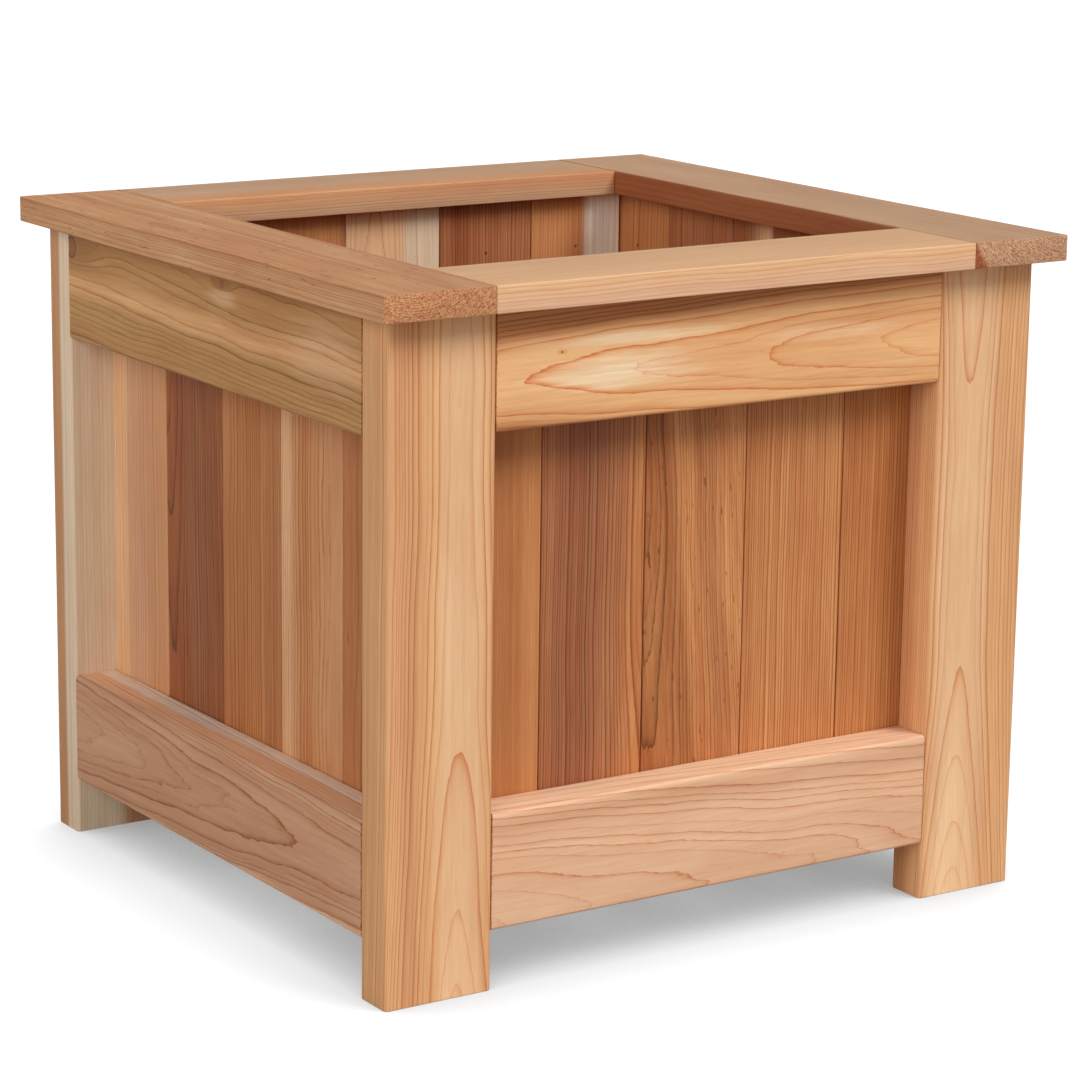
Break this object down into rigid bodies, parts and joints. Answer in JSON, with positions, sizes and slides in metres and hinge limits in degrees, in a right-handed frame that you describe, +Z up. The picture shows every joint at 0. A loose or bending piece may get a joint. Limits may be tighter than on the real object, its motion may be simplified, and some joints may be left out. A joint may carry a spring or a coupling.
{
  "type": "raised planter",
  "caption": "Nearly square wooden planter raised on legs, with framed sides of upright boards, a flat board cap round the open top and a slatted floor.",
  "frame": {"origin": "on the ground under the middle of the planter, at the bottom centre of its box", "axes": "+Z up, +X to the right along the longer side of the cap, and the front faces -Y"},
  "size_m": [0.604, 0.568, 0.518],
  "materials": {
    "cedar_leg": "planed, unfinished, satin",
    "cedar_top_rail": "planed, unfinished, satin",
    "cedar_bottom_rail": "planed, unfinished, satin",
    "cedar_cap_long": "planed, unfinished, satin",
    "cedar_cap_short": "planed, unfinished, satin",
    "cedar_panel_amber": "planed, unfinished, satin",
    "cedar_panel_rose": "planed, unfinished, satin",
    "cedar_panel_gold": "planed, unfinished, satin",
    "cedar_panel_orange": "planed, unfinished, satin",
    "cedar_panel_cream": "planed, unfinished, satin",
    "cedar_panel_brown": "planed, unfinished, satin",
    "cedar_floor": "planed, unfinished, satin",
    "cedar_cleat": "planed, unfinished, satin",
    "zinc_screw": "zinc plated, satin",
    "brad_steel": "zinc plated, satin"
  },
  "bodies": {
    "root": {"front_left_leg": "cedar_leg", "front_right_leg": "cedar_leg", "back_left_leg": "cedar_leg", "back_right_leg": "cedar_leg", "front_top_rail": "cedar_top_rail", "back_top_rail": "cedar_top_rail", "left_top_rail": "cedar_top_rail", "right_top_rail": "cedar_top_rail", "front_bottom_rail": "cedar_bottom_rail", "back_bottom_rail": "cedar_bottom_rail", "left_bottom_rail": "cedar_bottom_rail", "right_bottom_rail": "cedar_bottom_rail", "front_cap_board": "cedar_cap_short", "back_cap_board": "cedar_cap_short", "left_cap_board": "cedar_cap_long", "right_cap_board": "cedar_cap_long", "front_panel_board_1": "cedar_panel_amber", "front_panel_board_2": "cedar_panel_rose", "front_panel_board_3": "cedar_panel_gold", "front_panel_board_4": "cedar_panel_orange", "front_panel_board_5": "cedar_panel_amber", "back_panel_board_1": "cedar_panel_gold", "back_panel_board_2": "cedar_panel_orange", "back_panel_board_3": "cedar_panel_cream", "back_panel_board_4": "cedar_panel_rose", "back_panel_board_5": "cedar_panel_brown", "left_panel_board_1": "cedar_panel_brown", "left_panel_board_2": "cedar_panel_cream", "left_panel_board_3": "cedar_panel_gold", "left_panel_board_4": "cedar_panel_rose", "left_panel_board_5": "cedar_panel_cream", "right_panel_board_1": "cedar_panel_gold", "right_panel_board_2": "cedar_panel_orange", "right_panel_board_3": "cedar_panel_cream", "right_panel_board_4": "cedar_panel_rose", "right_panel_board_5": "cedar_panel_brown", "front_floor_cleat": "cedar_cleat", "back_floor_cleat": "cedar_cleat", "floor_slat_1": "cedar_floor", "floor_slat_2": "cedar_floor", "floor_slat_3": "cedar_floor", "floor_slat_4": "cedar_floor", "floor_slat_5": "cedar_floor", "frame_screws": "zinc_screw", "cap_screws": "zinc_screw", "cleat_screws": "zinc_screw", "slat_screws": "zinc_screw", "panel_brads": "brad_steel"}
  },
  "joints": []
}
